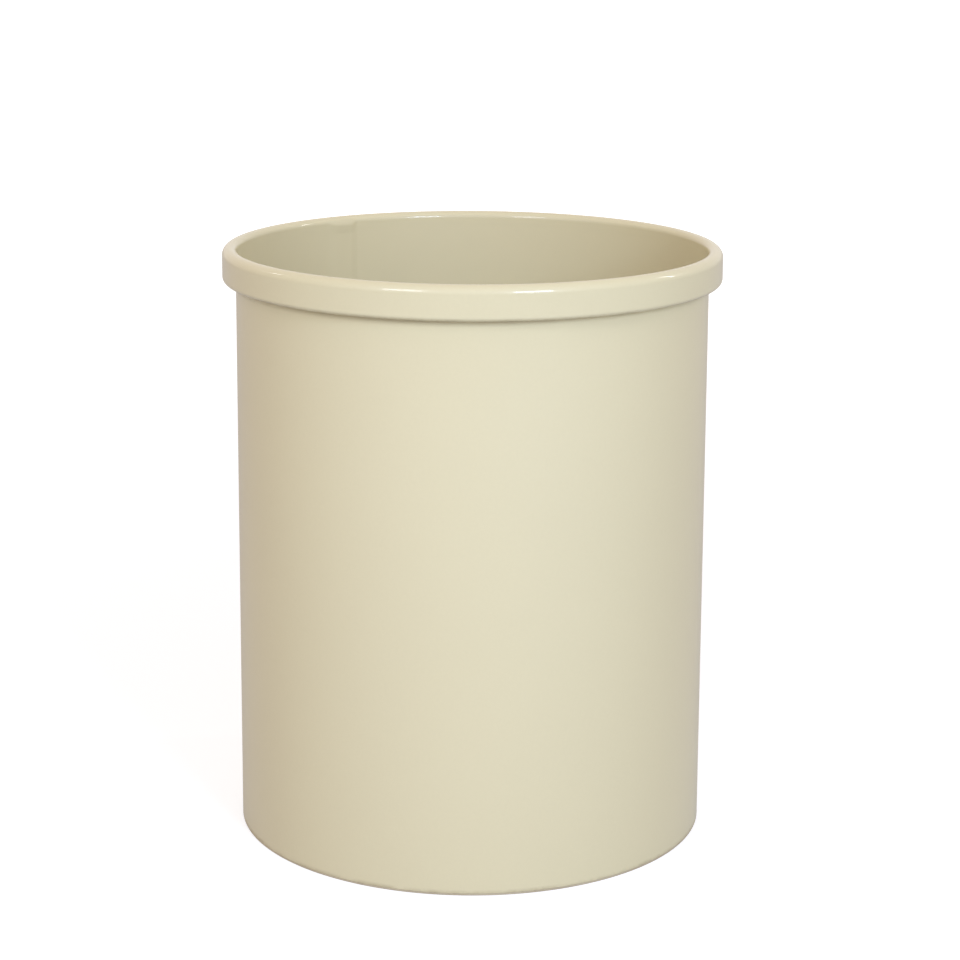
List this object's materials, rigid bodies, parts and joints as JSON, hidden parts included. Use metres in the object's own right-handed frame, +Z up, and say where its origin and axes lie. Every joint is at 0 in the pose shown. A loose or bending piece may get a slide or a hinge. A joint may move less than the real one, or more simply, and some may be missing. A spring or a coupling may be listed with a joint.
{
  "type": "waste bin",
  "caption": "Round open waste bin of ivory enamelled sheet steel, with a straight lap-seamed wall, a deep flat-faced rim band, a recessed floor and a soft base ring.",
  "frame": {"origin": "centre of the base, on the surface that the bin stands on", "axes": "+Z up along the bin's axis; +Y away from the viewer of the picture; the lap seam is at the back left, 122 degrees round from +X"},
  "size_m": [0.26, 0.26, 0.308],
  "materials": {
    "wall_enamel": "ivory powder coat, satin to gloss, fine orange peel",
    "rim_enamel": "ivory powder coat, glossy on the rolled band",
    "floor_enamel": "ivory powder coat, satin",
    "soft_ring": "soft PVC, matte, beige"
  },
  "bodies": {
    "root": {"body_shell": "wall_enamel", "rim_ring": "rim_enamel", "bottom_pan": "floor_enamel", "base_ring": "soft_ring"}
  },
  "joints": []
}
